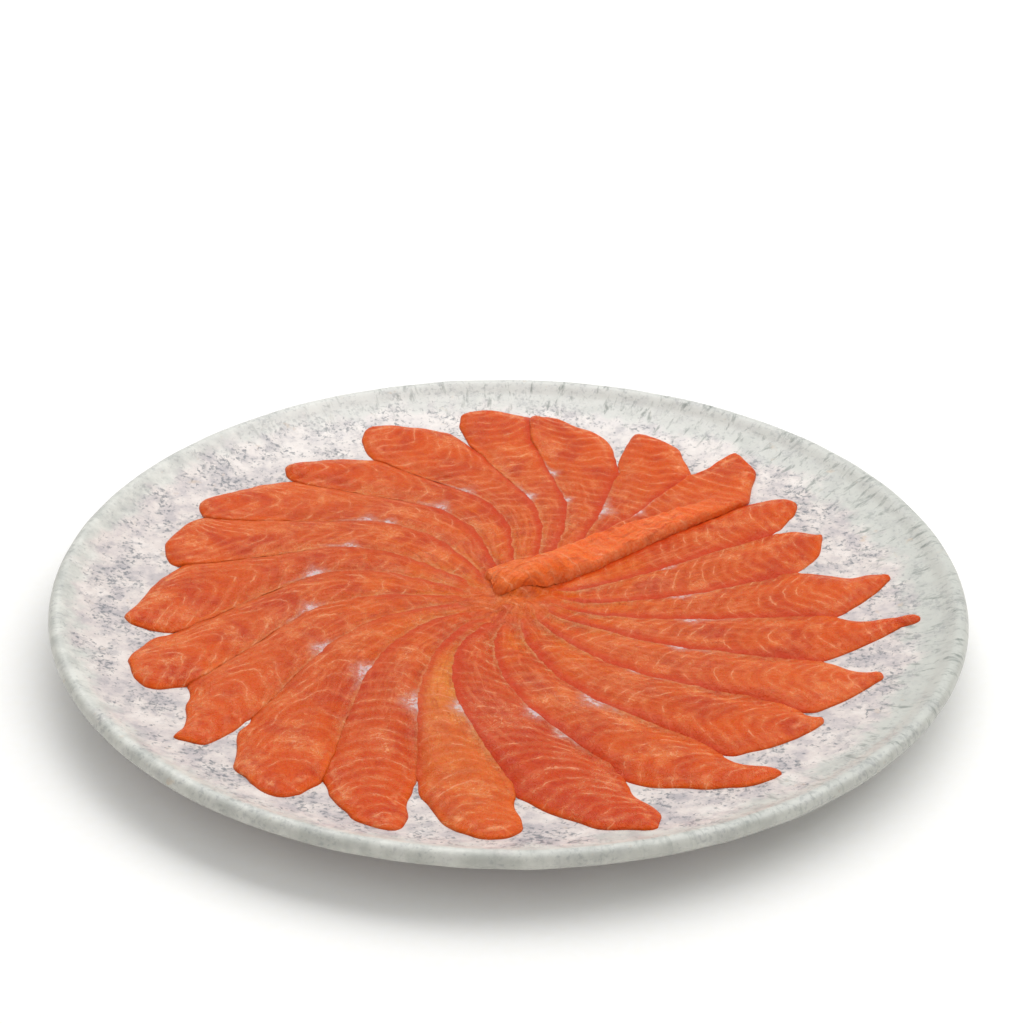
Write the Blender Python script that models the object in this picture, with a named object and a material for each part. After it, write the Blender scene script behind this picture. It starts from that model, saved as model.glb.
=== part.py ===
"""Trout carpaccio on its plate.

Twenty-two thin, leaf-shaped slices of raw trout lie in a ring on a shallow round stoneware plate.
They are laid clockwise: each lies over the one before it, and shows the long edge on its
counter-clockwise side. The last one lies over the first as well, so it shows both its long edges
and the first shows neither. Their tips reach towards the plate's rim and their narrow ends meet in
the middle. Metres, +Z up; the origin is on the table under the middle of the plate.
"""

import math
from typing import NamedTuple

import bmesh
import bpy
import numpy as np
from mathutils import Vector

MM = 0.001

# The plate, turned about +Z.
PLATE_RADIUS = 140 * MM
CREST_RADIUS = 137.2 * MM
CREST_HEIGHT = 18.5 * MM
LIP_HALF_HEIGHT = 2.5 * MM
FLOOR_HEIGHT = 10 * MM
FLAT_RADIUS = 60 * MM
RISE_POWER = 5.5
BASE_HEIGHT = 4 * MM
BELLY_RADIUS = 75 * MM
BELLY_POWER = 2.2
FOOT_OUTER_RADIUS = 90 * MM
FOOT_INNER_RADIUS = 84 * MM
FOOT_ROUNDING = 1 * MM
PLATE_SEGMENTS = 72
WELD_DISTANCE = 0.01 * MM

# Where the plate's section has its points: radii in mm on its upper side and its belly, and
# degrees round the lip.
TOP_RINGS = (0, 60, 90, 107, 118, 126, 132)
LIP_RINGS = (90, 50, 0, -45)
BELLY_RINGS = (126, 110)

# The slices. Each slice's tucked edge reaches this far under the slice laid next, except the last
# slice's, which shows and has its own bearings, in degrees.
MIDDLE_REACH = 60 * MM
INNER_REACH = 30 * MM
TUCK_MIDDLE = 10 * MM
TUCK_INNER = 6 * MM
LAST_TUCKED_MIDDLE = 37
LAST_TUCKED_INNER = 34

# Thickness of a slice's edges and of its narrow end, as shares of its full thickness, and the
# space between a slice and what it lies on.
EDGE_THINNESS = 0.57
END_THINNESS = 0.35
GAP = 0.3 * MM

# Where the rows across a slice stand: along its body as fractions from the narrow end to the
# shoulder, then round its tip as degrees; and where its columns stand across it.
BODY_ROWS = (0.0, 0.12, 0.24, 0.37, 0.52, 0.68, 0.84, 1.0)
TIP_ROWS = (18, 35, 50, 64, 76, 86)
COLUMNS = (0.0, 0.13, 0.5, 0.87, 1.0)
END_ROW_WIDTH = 0.45
END_ROW_SETBACK = 1.6 * MM

# The grid that keeps the height of everything laid so far, and how a slice settles on it: raised
# a little more than it is short by, until it is short by less than TOUCH. A triangle with less
# than LEAST_AREA in plan covers no cell, and a corner with less than LEAST_WEIGHT isn't held up.
CELL = 0.6 * MM
PILE_HALF_WIDTH = 132 * MM
OVERLIFT = 1.05
TOUCH = 0.01 * MM
LEAST_AREA = CELL**2 / 100
LEAST_WEIGHT = 0.001

# Faces that meet at more than this many degrees have a sharp edge between them.
SHARP_ANGLE = 50


class Slice(NamedTuple):
    """One slice. Bearings are degrees counter-clockwise from +X, and the rest is in millimetres.

    Tip, shoulder and end are each a bearing and a reach, the distance from the middle. The open
    edge is the long edge on the counter-clockwise side. It runs from the shoulder, where the tip
    begins, through its middle and inner bearings at MIDDLE_REACH and INNER_REACH to the narrow end.
    A fullness of 1 makes that side of the tip straight, 2 makes it round, and more makes it square.
    """

    tip: tuple
    shoulder: tuple
    middle: float
    inner: float
    end: tuple
    open_fullness: float
    tucked_fullness: float
    thickness: float = 2.3
    end_width: float = 4.5


SLICES = (
    Slice((33, 114), (39, 102), 43, 43, (32, 7), 1.8, 1.3),
    Slice((22, 111), (27, 97), 22, 18, (10, 6), 1.7, 1.3),
    Slice((7, 121), (12, 94), 4, 358, (350, 7), 1.1, 1.2),
    Slice((355, 126), (356, 101), 349, 343, (335, 6), 1.0, 1.3),
    Slice((340, 118), (341, 99), 332, 328, (315, 7), 1.2, 1.3),
    Slice((323, 112), (327, 108), 314, 307, (290, 5), 1.4, 2.1),
    Slice((308, 120), (308, 104), 294, 285, (270, 7), 1.7, 3.0),
    Slice((288, 128), (290, 102), 276, 263, (245, 6), 1.4, 2.0),
    Slice((267, 125), (272, 103), 257, 242, (225, 5), 2.8, 2.0),
    Slice((256, 127), (256, 101), 245, 232, (215, 7), 1.4, 2.0),
    Slice((233, 121), (242, 109), 227, 210, (195, 6), 4.0, 1.7),
    Slice((220, 122), (222, 100), 208, 192, (180, 5), 2.1, 0.75),
    Slice((201, 119), (208, 106), 188, 176, (165, 7), 2.5, 2.0),
    Slice((186, 118), (191, 104), 167, 157, (145, 6), 1.2, 1.25),
    Slice((164, 114), (170, 106), 151, 141, (130, 7), 1.8, 2.0),
    Slice((149, 117), (154, 111), 131, 120, (105, 5), 1.2, 2.0),
    Slice((131, 113), (134, 105), 113, 103, (90, 6), 1.2, 2.0),
    Slice((113, 123), (117, 103), 97, 88, (75, 7), 1.4, 1.5),
    Slice((98, 123), (97, 100), 83, 72, (60, 5), 1.4, 2.1),
    Slice((81, 119), (87, 112), 72, 65, (50, 6), 1.9, 2.2),
    Slice((68, 119), (67, 94), 61, 53, (40, 7), 1.3, 2.0),
    Slice((50, 122), (53, 101), 51, 60, (118, 10), 1.1, 1.7, thickness=3.2, end_width=12),
)


def at_bearing(bearing, reach):
    """The point in plan at a bearing in degrees and a distance from the middle."""
    angle = math.radians(bearing)
    return Vector((reach * math.cos(angle), reach * math.sin(angle)))


def in_plan(place):
    """The point in plan of a bearing in degrees and a reach in millimetres."""
    bearing, reach = place
    return at_bearing(bearing, reach * MM)


# ---------------------------------------------------------------- plate


def plate_floor(radius):
    """Height of the plate's upper side: flat in the middle, then curving up to the crest."""
    rise = max(0.0, radius - FLAT_RADIUS) / (CREST_RADIUS - FLAT_RADIUS)
    return FLOOR_HEIGHT + (CREST_HEIGHT - FLOOR_HEIGHT) * rise**RISE_POWER


def plate_belly(radius, lip_radius, lip_height):
    """Height of the plate's underside, outside the foot: it curves up to meet the lip."""
    rise = max(0.0, radius - BELLY_RADIUS) / (lip_radius - BELLY_RADIUS)
    return BASE_HEIGHT + (lip_height - BASE_HEIGHT) * rise**BELLY_POWER


def lip_point(degrees):
    """A point on the rounded lip, from its top at 90 degrees to its outermost point at 0."""
    angle = math.radians(degrees)
    radius = CREST_RADIUS + (PLATE_RADIUS - CREST_RADIUS) * math.cos(angle)
    return radius, CREST_HEIGHT + LIP_HALF_HEIGHT * (math.sin(angle) - 1)


def plate_profile():
    """The plate's section as (radius, height), from the middle of its top to that of its base."""
    top = [(radius * MM, plate_floor(radius * MM)) for radius in TOP_RINGS]
    lip = [lip_point(degrees) for degrees in LIP_RINGS]
    belly = [(radius * MM, plate_belly(radius * MM, *lip[-1])) for radius in BELLY_RINGS]
    foot = [
        (FOOT_OUTER_RADIUS, BASE_HEIGHT),
        (FOOT_OUTER_RADIUS, FOOT_ROUNDING),
        (FOOT_OUTER_RADIUS - FOOT_ROUNDING, 0.0),
        (FOOT_INNER_RADIUS + FOOT_ROUNDING, 0.0),
        (FOOT_INNER_RADIUS, FOOT_ROUNDING),
        (FOOT_INNER_RADIUS - FOOT_ROUNDING, BASE_HEIGHT),
        (0.0, BASE_HEIGHT),
    ]
    return top + lip + belly + foot


def make_plate(material):
    """The plate: its section turned once round +Z."""
    shape = bmesh.new()
    section = [shape.verts.new((radius, 0.0, height)) for radius, height in plate_profile()]
    edges = [shape.edges.new(pair) for pair in zip(section, section[1:])]
    bmesh.ops.spin(
        shape,
        geom=section + edges,
        cent=(0, 0, 0),
        axis=(0, 0, 1),
        angle=math.tau,
        steps=PLATE_SEGMENTS,
        use_duplicate=False,
    )
    bmesh.ops.remove_doubles(shape, verts=shape.verts, dist=WELD_DISTANCE)
    return finish_object("plate", shape, material)


# ---------------------------------------------------------------- what lies on the plate


class Pile:
    """The height of the plate and of every slice laid on it so far, on a square grid of cells."""

    def __init__(self):
        count = 2 * round(PILE_HALF_WIDTH / CELL) + 1
        self.axis = (np.arange(count) - count // 2) * CELL
        distance = np.hypot(*np.meshgrid(self.axis, self.axis))
        self.heights = np.vectorize(plate_floor)(distance)

    def cells_under(self, corners):
        """Rows, columns and corner weights of the cells whose middle is under one triangle."""
        low = np.ceil((corners[:, :2].min(axis=0) - self.axis[0]) / CELL).astype(int)
        high = np.floor((corners[:, :2].max(axis=0) - self.axis[0]) / CELL).astype(int)
        columns, rows = np.meshgrid(np.arange(low[0], high[0] + 1), np.arange(low[1], high[1] + 1))
        columns, rows = columns.ravel(), rows.ravel()
        sides = np.column_stack([corners[1, :2] - corners[0, :2], corners[2, :2] - corners[0, :2]])
        if abs(np.linalg.det(sides)) < LEAST_AREA or not len(rows):
            return rows[:0], columns[:0], np.empty((0, 3))
        places = np.stack([self.axis[columns], self.axis[rows]]) - corners[0, :2, None]
        second, third = np.linalg.solve(sides, places)
        weights = np.stack([1 - second - third, second, third], axis=1)
        inside = weights.min(axis=1) > -LEAST_WEIGHT
        return rows[inside], columns[inside], weights[inside]

    def add(self, points, triangles):
        """Raises the pile to the upper side of a slice."""
        for corners in points[triangles]:
            rows, columns, weights = self.cells_under(corners)
            heights = weights @ corners[:, 2]
            self.heights[rows, columns] = np.maximum(self.heights[rows, columns], heights)

    def spread(self):
        """The pile's heights, each cell as high as the highest of its neighbours."""
        padded = np.pad(self.heights, 1, mode="edge")
        size = len(self.heights)
        by_row = np.max([padded[step : step + size] for step in range(3)], axis=0)
        return np.max([by_row[:, step : step + size] for step in range(3)], axis=0)

    def rests(self, points, triangles):
        """Every spot where an underside can touch the pile: its three corners, weights and height."""
        ceiling = self.spread() + GAP
        cells = np.round((points[:, :2] - self.axis[0]) / CELL).astype(int)
        count = len(points)
        corners = [np.repeat(np.arange(count)[:, None], 3, axis=1)]
        weights = [np.tile((1.0, 0.0, 0.0), (count, 1))]
        heights = [ceiling[cells[:, 1], cells[:, 0]]]
        for triangle in triangles:
            rows, columns, shares = self.cells_under(points[triangle])
            corners.append(np.tile(triangle, (len(rows), 1)))
            weights.append(shares)
            heights.append(ceiling[rows, columns])
        return np.concatenate(corners), np.concatenate(weights), np.concatenate(heights)

    def settle(self, points, triangles):
        """Lays an underside on the pile: raised until it clears it all, then let down to touch."""
        corners, weights, heights = self.rests(points, triangles)
        level = heights[: len(points)].copy()
        strength = (weights**2).sum(axis=1)
        shortage = heights - (weights * level[corners]).sum(axis=1)
        while shortage.max() > TOUCH:
            worst = np.argmax(shortage)
            lift = OVERLIFT * shortage[worst] * weights[worst] / strength[worst]
            np.add.at(level, corners[worst], lift)
            shortage = heights - (weights * level[corners]).sum(axis=1)
        for point in range(len(points)):
            touched, corner = np.nonzero((corners == point) & (weights > LEAST_WEIGHT))
            slack = (weights[touched] * level[corners[touched]]).sum(axis=1) - heights[touched]
            level[point] -= max(0.0, (slack / weights[touched, corner]).min())
        points[:, 2] = level
        return points


# ---------------------------------------------------------------- slices


def smooth_path(knots, fraction):
    """A point on the smooth curve through all the knots, at a fraction of the way along them."""
    place = fraction * (len(knots) - 1)
    start = min(int(place), len(knots) - 2)
    step = place - start
    before = knots[start - 1] if start > 0 else 2 * knots[0] - knots[1]
    after = knots[start + 2] if start + 2 < len(knots) else 2 * knots[-1] - knots[-2]
    first, second = knots[start], knots[start + 1]
    return 0.5 * (
        2 * first
        + (second - before) * step
        + (2 * before - 5 * first + 4 * second - after) * step**2
        + (3 * first - before - 3 * second + after) * step**3
    )


def edge_bearings(number):
    """A slice's open and tucked edges, as bearings at MIDDLE_REACH and INNER_REACH.

    The tucked edge of each slice but the last is hidden: it lies a little way under the open edge
    of the slice laid next.
    """
    row = SLICES[number]
    if number == len(SLICES) - 1:
        return (row.middle, row.inner), (LAST_TUCKED_MIDDLE, LAST_TUCKED_INNER)
    following = SLICES[number + 1]
    tucked = (
        following.middle - math.degrees(TUCK_MIDDLE / MIDDLE_REACH),
        following.inner - math.degrees(TUCK_INNER / INNER_REACH),
    )
    return (row.middle, row.inner), tucked


def slice_sides(number):
    """The knots of a slice's two long edges, each from its narrow end to its shoulder."""
    row = SLICES[number]
    following = SLICES[(number + 1) % len(SLICES)]
    shoulders = [in_plan(row.shoulder), in_plan(following.shoulder)]
    end = in_plan(row.end)
    bearings = edge_bearings(number)
    inner = [at_bearing(pair[1], INNER_REACH) for pair in bearings]
    middle = [at_bearing(pair[0], MIDDLE_REACH) for pair in bearings]
    lengthwise = ((inner[0] + inner[1]) / 2 - end).normalized()
    half_end = lengthwise.orthogonal() * row.end_width * MM / 2
    return [
        [end + turn * half_end, inner[side], middle[side], shoulders[side]]
        for side, turn in enumerate((1, -1))
    ]


def tip_rows(number, shoulders):
    """Left and right ends of the rows round a slice's tip, a lopsided superellipse."""
    row = SLICES[number]
    base = (shoulders[0] + shoulders[1]) / 2
    tip = in_plan(row.tip)
    rows = []
    for degrees in TIP_ROWS:
        angle = math.radians(degrees)
        ends = []
        for shoulder, fullness in zip(shoulders, (row.open_fullness, row.tucked_fullness)):
            outward = math.sin(angle) ** (2 / fullness)
            sideways = math.cos(angle) ** (2 / fullness)
            ends.append(base + (tip - base) * outward + (shoulder - base) * sideways)
        rows.append(ends)
    return rows


def slice_plan(number):
    """A slice's outline in plan as rows of two points, from its narrow end to its tip."""
    sides = slice_sides(number)
    rows = [[smooth_path(side, fraction) for side in sides] for fraction in BODY_ROWS]
    middle = (rows[0][0] + rows[0][1]) / 2
    back = (middle - (rows[1][0] + rows[1][1]) / 2).normalized() * END_ROW_SETBACK
    rows.insert(0, [middle + back + (point - middle) * END_ROW_WIDTH for point in rows[0]])
    return rows + tip_rows(number, [side[-1] for side in sides])


def slice_grid(number):
    """Plan points of a slice as an array of rows by columns."""
    rows = slice_plan(number)
    return np.array([[left.lerp(right, across) for across in COLUMNS] for left, right in rows])


def slice_thickness(number, plan):
    """Thickness at each point of a slice: thin at its edges and towards its narrow end."""
    reach = np.hypot(plan[..., 0], plan[..., 1])
    thinness = np.minimum(END_THINNESS + (1 - END_THINNESS) * reach / MIDDLE_REACH, 1)
    thinness[[0, -1], :] *= EDGE_THINNESS
    thinness[1:-1, [0, -1]] *= EDGE_THINNESS
    return SLICES[number].thickness * MM * thinness


def grid_triangles(row_count, column_count):
    """Triangles of a grid of points, facing up, each as three indices."""
    triangles = []
    for row in range(row_count - 1):
        for column in range(column_count - 1):
            near = row * column_count + column
            far = near + column_count
            triangles += [(near, near + 1, far + 1), (near, far + 1, far)]
    return np.array(triangles)


def rim_indices(row_count, column_count):
    """Indices of a grid's outer points, once round it."""
    indices = np.arange(row_count * column_count).reshape(row_count, column_count)
    return [
        *indices[0, :-1],
        *indices[:-1, -1],
        *indices[-1, :0:-1],
        *indices[:0:-1, 0],
    ]


def make_slice(number, pile, material):
    """One slice, settled on whatever lies under it, and added to the pile."""
    plan = slice_grid(number)
    row_count, column_count = plan.shape[:2]
    triangles = grid_triangles(row_count, column_count)
    lower = np.column_stack([plan.reshape(-1, 2), np.zeros(row_count * column_count)])
    lower = pile.settle(lower, triangles)
    upper = lower.copy()
    upper[:, 2] += slice_thickness(number, plan).ravel()
    pile.add(upper, triangles)

    shape = bmesh.new()
    under = [shape.verts.new(point) for point in lower]
    over = [shape.verts.new(point) for point in upper]
    for first, second, third in triangles:
        shape.faces.new((over[first], over[second], over[third]))
        shape.faces.new((under[third], under[second], under[first]))
    rim = rim_indices(row_count, column_count)
    for here, there in zip(rim, rim[1:] + rim[:1]):
        shape.faces.new((under[here], under[there], over[there], over[here]))
    return finish_object(f"slice_{number + 1:02d}", shape, material)


# ---------------------------------------------------------------- objects and materials


def make_material(name, colour, roughness):
    """A plain, non-metallic material."""
    material = bpy.data.materials.new(name)
    material.use_nodes = True
    shader = material.node_tree.nodes["Principled BSDF"]
    shader.inputs["Base Color"].default_value = (*colour, 1)
    shader.inputs["Roughness"].default_value = roughness
    shader.inputs["Metallic"].default_value = 0.0
    return material


def finish_object(name, shape, material):
    """Turns a closed shape into a smooth-shaded object."""
    bmesh.ops.recalc_face_normals(shape, faces=shape.faces)
    mesh = bpy.data.meshes.new(name)
    shape.to_mesh(mesh)
    shape.free()
    mesh.materials.append(material)
    mesh.shade_smooth()
    mesh.set_sharp_from_angle(angle=math.radians(SHARP_ANGLE))
    piece = bpy.data.objects.new(name, mesh)
    bpy.context.scene.collection.objects.link(piece)
    return piece


def main():
    for old in list(bpy.data.objects):
        bpy.data.objects.remove(old, do_unlink=True)
    make_plate(make_material("speckled stoneware", (0.72, 0.68, 0.66), 0.3))
    pile = Pile()
    flesh = make_material("raw trout", (0.70, 0.16, 0.06), 0.35)
    for number in range(len(SLICES)):
        make_slice(number, pile, flesh)


main()
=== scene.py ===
"""Trout carpaccio on its plate: the looks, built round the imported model.

Each slice is made again from its packed outline as a limp sheet of raw fish with soft, rounded
edges, laid on whatever lies under it. The plate is turned again from its packed section. All
lengths are in metres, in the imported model's own frame, and MM turns millimetres into them.
"""

import math
from typing import NamedTuple

import bmesh
import bpy
import numpy as np
from mathutils import Matrix, Vector, noise


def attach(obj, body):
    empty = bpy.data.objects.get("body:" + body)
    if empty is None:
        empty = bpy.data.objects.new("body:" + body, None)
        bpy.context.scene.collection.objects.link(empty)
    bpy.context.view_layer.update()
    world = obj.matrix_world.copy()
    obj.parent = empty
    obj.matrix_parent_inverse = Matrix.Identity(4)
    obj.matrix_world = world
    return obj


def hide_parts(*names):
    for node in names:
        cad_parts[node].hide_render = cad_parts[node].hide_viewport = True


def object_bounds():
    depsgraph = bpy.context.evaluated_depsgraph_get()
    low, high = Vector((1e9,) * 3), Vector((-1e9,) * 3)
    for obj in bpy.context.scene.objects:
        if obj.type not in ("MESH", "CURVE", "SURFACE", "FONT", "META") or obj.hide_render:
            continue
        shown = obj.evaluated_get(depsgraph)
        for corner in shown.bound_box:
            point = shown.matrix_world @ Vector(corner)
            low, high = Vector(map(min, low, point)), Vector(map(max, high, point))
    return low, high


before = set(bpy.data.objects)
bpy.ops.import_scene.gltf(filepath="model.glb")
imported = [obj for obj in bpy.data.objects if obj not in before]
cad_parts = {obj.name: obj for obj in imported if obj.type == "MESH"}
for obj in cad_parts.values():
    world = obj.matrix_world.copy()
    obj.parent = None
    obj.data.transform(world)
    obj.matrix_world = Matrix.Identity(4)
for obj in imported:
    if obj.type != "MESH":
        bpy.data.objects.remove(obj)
cad_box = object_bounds()

MM = 0.001

# A length too small to matter, and how close together points are welded into one.
TINY = 0.01 * MM
WELD = 0.004 * MM

# How strongly a curve swings through its knots, and the degrees past which an edge is shaded sharp.
CURVE_TENSION = 0.6
PLATE_SHARP_ANGLE = 40
SLICE_SHARP_ANGLE = 60

# The plate: how finely it is turned, and the hand-turned unevenness of its lip, which sets in
# between two distances from its middle and between two heights.
PLATE_SEGMENTS = 288
SECTION_STEP = 1.2 * MM
LIP_WAVER = 0.25 * MM
LIP_WAVER_SIZE = 14 * MM
LIP_REACH = (100 * MM, 138 * MM)
LIP_HEIGHT = (5 * MM, 12 * MM)

# How finely a slice is made: rows along it, columns across it, and how much they crowd to its edges.
ROWS = 120
COLUMNS = 45
ROW_CROWDING = 0.45
COLUMN_CROWDING = 0.75

# A slice's body. It is cut to one thickness, thins towards its narrow end, and feathers out to its
# edges, which stay thick and rounded only round its tip.
SLICE_THICKNESS = 2.2 * MM
END_SHARE = 0.35
END_TAPER = 75 * MM
VERY_END_SHARE = 0.3
VERY_END_TAPER = 15 * MM
EDGE_TAPER = 8 * MM
INNER_EDGE_SHARE = 0.1
TIP_EDGE_SHARE = 0.62
TIP_START = 82 * MM
TIP_FULL = 114 * MM
INNER_ROUNDING = 0.9 * MM
TIP_ROUNDING = 2.8 * MM

# Its outline wavers, more round the tip. The very point is rounded off, at the left by a smaller
# share than elsewhere.
EDGE_WAVER = 0.6 * MM
EDGE_WAVER_SIZE = 3.6 * MM
TIP_WAVER = 1.7 * MM
TIP_WAVER_SIZE = 9 * MM
POINT_REACH = 95 * MM
POINT_PASSES = 5
LEFT_PLACE = -60 * MM
LEFT_SHARE = 0.2

# How far from the plate's middle its open side is drawn in, and over what length.
NICK_REACH = 108 * MM
NICK_SIZE = 7 * MM

# The narrow end is a rounded lobe. The least that half its width may be fades out between two
# distances from the plate's middle. It rounds off over a share of the slice's length.
LOBE_HALF_WIDTH = 6.5 * MM
LOBE_FADE = (17 * MM, 44.2 * MM)
LOBE_ROUNDING = 0.055

# At the tip, in shares of the slice's length: where a knob starts and is full and over how much it
# rounds off, and where the tucked side reaches furthest out and over how much.
KNOB_START = 0.84
KNOB_FULL = 0.95
KNOB_ROUNDING = 0.03
SPREAD_PLACE = 0.9
SPREAD_LENGTH = 0.1

# How limply it lies: the passes that round it over a step, the width over which its edges settle,
# how deep they bed into what is under them, and its slow waves, which lift more of it than they
# leave down.
BEDDING = 0.3 * MM
DRAPE_PASSES = 60
SETTLE_WIDTH = 6 * MM
WAVE_HEIGHT = 0.7 * MM
WAVE_SIZE = 22 * MM
WAVE_LIFT = 0.15

# Flakes of muscle bulge a little between the fat lines, but for a margin along the edge. The lines
# arch across the slice, more and more towards its tip. The rates are the fewest and the most of
# them that there can be to a millimetre.
FLAKE_WIDTH = 4.8 * MM
FLAKE_BULGE = 0.14 * MM
FLAKE_MARGIN = 3 * MM
FLAKE_WARP = 1.7 * MM
FLAKE_WARP_SIZE = 13 * MM
FLAKE_RATES = (0.08, 1.2)
ARCH_ROUNDING = 4 * MM
ARCH_START = 0.4
ARCH_GROWTH = 0.9

# The last slice is thick, and its tucked side stands up from it as a ribbon: all its width at the
# narrow end, and half of it further on. The pairs say between which shares of the slice's length the
# ribbon narrows, and between which it sinks back into the slice.
RIBBON = "slice_22"
RIBBON_SHARE = 0.85
RIBBON_RISE = 0.95
RIBBON_END_SHARE = 0.5
RIBBON_END_TAPER = 0.2
RIBBON_FREE_SHARE = 0.52
RIBBON_NARROWS = (0.3, 0.72)
RIBBON_SINKS = (0.58, 0.82)
RIBBON_SHOULDER = 0.13
RIBBON_ROUNDING = 2.2 * MM

# Near its narrow end the ribbon bulges out on its tucked side. The bulge is greatest at a distance
# from the plate's middle, and it sets in over a share of the slice's length.
TONGUE_BULGE = 4.5 * MM
TONGUE_REACH = 8 * MM
TONGUE_LENGTH = 9 * MM
TONGUE_START = 0.03

# The pull of the knife has crinkled the ribbon across, and the rest of its slice a little.
CRINKLE_HEIGHT = 0.95 * MM
CRINKLE_WIDTH = 2.3 * MM
CRINKLE_LENGTH = 9 * MM
CRINKLE_MARGIN = 2 * MM
CRINKLE_ELSEWHERE = 0.25

# A silvery patch is a blunt wedge with a thin tail along the slice's edge. In shares of the patch's
# length: half the wedge's width at the edge, how much of that is left at its point, and its depth. In
# millimetres: how deep the tail is, and between which places it sets in and dies away.
WEDGE_STRENGTH = 1.25
WEDGE_HALF_WIDTH = 0.55
WEDGE_POINT = 0.2
WEDGE_DEPTH = 0.5
TAIL_STRENGTH = 0.7
TAIL_DEPTH = 1.0
TAIL_STARTS = (-2, 2)
TAIL_ENDS = (5, 14)

# Between which distances from the plate's middle, in millimetres, amber flesh sets in, pales, and
# pales again, and how amber it is after the first and what it loses in the second.
AMBER_STARTS = (30, 46)
AMBER_PALES = (60, 72)
AMBER_PALES_AGAIN = (85, 112)
AMBER_BEYOND = 0.42
AMBER_LOSS = 0.22

# How far apart in the noise the slices, and the kinds of unevenness in each, are read.
SLICE_SHIFT = 3.1
EDGE_SHIFTS = (0.3, 50.3)
TIP_SHIFTS = (20.3, 70.3)
FLAKE_SHIFT = 7.7
LIP_SHIFT = 9.1
STREAK_SHIFT = 200
CLOUD_SHIFT = 0.37

# The grid that keeps the height of everything laid so far, and how finely a slice is laid on it.
# The painted shade along the edge of a slice above grows less and less past each of these numbers of cells
# from it.
CELL = 0.5 * MM
PILE_HALF_WIDTH = 134 * MM
REFINEMENT = 4
CREVICE_CELLS = (1, 2, 3, 5)

# The floor of white card, a hair under the plate's foot.
FLOOR_HALF_WIDTH = 4.0
FLOOR_GAP = 0.02 * MM

# The light: an even white sky, and a long soft lamp high behind the plate.
SKY_STRENGTH = 0.61
LAMP_LENGTH = 2.4
LAMP_DEPTH = 0.9
LAMP_POWER = 16.0
LAMP_PLACE = (0.28, 0.5, 1.15)

# The camera: its distance from the plate's middle, at about the height of the rim, its angles in
# degrees, where it is aimed, and its lens and film in millimetres.
CAMERA_DISTANCE = 770 * MM
CAMERA_ELEVATION = 31.03
CAMERA_ROLL = 0.602
CAMERA_AIM = (0.76 * MM, 44.5 * MM, 17.2 * MM)
CAMERA_LENS = 87.96
CAMERA_FILM = 36.0


class Look(NamedTuple):
    """What sets one slice apart, its lengths in millimetres.

    Silver holds its patches of silvery skin side, each with how far from the plate's middle it lies
    on the open edge, and its length. Tone runs from deep red at -1 to pale at 1. Bend is how strongly
    the fat lines arch, lean the angle in radians they are turned by, and amber how yellow the flesh
    is halfway along. Nick is how far the open edge is drawn in before the tip, knob half the width of
    the tip's round end, and spread how much further the tucked side reaches out near the tip. Carry
    is how far the narrow end is carried in over the middle of the plate, and short how much of it has
    been cut off.
    """

    silver: tuple
    tone: float = 0.0
    bend: float = 1.0
    lean: float = 0.0
    amber: float = 0.0
    nick: float = 0.0
    knob: float = 0.0
    spread: float = 0.0
    carry: float = 0.0
    short: float = 0.0


LOOKS = {
    "slice_01": Look((), 0.1, 0.6, 0.2, nick=2, knob=3.4, carry=13),
    "slice_02": Look(((53.5, 7),), 0.0, 0.8, 0.2, nick=2.5, knob=3.4, carry=14),
    "slice_03": Look(((53, 9),), 0.1, 1.0, 0.1, nick=2.5, knob=3, carry=12),
    "slice_04": Look(((57, 9), (62, 5)), -0.1, 1.1, 0.1, nick=3, knob=3, carry=10),
    "slice_05": Look(((58, 8),), 0.3, 1.2, 0.0, nick=3.5, knob=4, carry=8),
    "slice_06": Look(((55, 5),), -0.1, 1.1, 0.1, nick=4, knob=4.2, carry=6),
    "slice_07": Look(((62, 11),), 0.1, 0.8, 0.3, nick=4, knob=3.6, carry=5),
    "slice_08": Look(((64, 9), (74, 6)), -0.6, 0.7, 0.4, nick=3, knob=3.4, carry=1),
    "slice_09": Look(((62, 9),), 0.2, 0.6, -0.3, amber=1.0, nick=2.5, short=5),
    "slice_10": Look(((64.4, 11),), -0.3, 0.6, -0.2, nick=3, carry=4),
    "slice_11": Look(((60, 11),), 0.1, 0.9, -1.0, knob=2, carry=3),
    "slice_12": Look(((63, 9),), 0.2, 1.3, -0.9, carry=5),
    "slice_13": Look(((61, 9),), 0.0, 1.6, -0.8, carry=3),
    "slice_14": Look(((62, 9),), -0.1, 1.5, -0.7, knob=2, carry=6),
    "slice_15": Look(((58, 7),), 0.1, 1.4, -0.8, carry=4),
    "slice_16": Look(((66, 7), (59, 6)), 0.2, 1.2, -0.9, carry=6),
    "slice_17": Look(((61, 9),), 0.0, 1.2, -0.7, carry=4),
    "slice_18": Look(((69, 7),), 0.0, 1.0, -0.4, carry=7, spread=5),
    "slice_19": Look(((64.5, 7),), 0.1, 0.7, -0.1, carry=5, spread=8),
    "slice_20": Look(((64, 6), (83, 7)), 0.0, 0.6, 0.1, carry=7, spread=5),
    "slice_21": Look(((62, 10),), 0.0, 0.6, 0.1, carry=6, spread=3),
    "slice_22": Look(((65.4, 6),), 0.2, 0.3, 0.0),
}


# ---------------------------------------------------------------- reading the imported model


def packed_mesh(node):
    """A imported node's points, each once, and its triangles as indices of them."""
    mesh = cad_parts[node].data
    places = np.array([vertex.co for vertex in mesh.vertices])
    corners = np.array([face.vertices[:] for face in mesh.polygons])
    cells = np.round(places / TINY).astype(int)
    _, kept, index = np.unique(cells, axis=0, return_index=True, return_inverse=True)
    return places[kept], index.reshape(-1)[corners]


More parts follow.
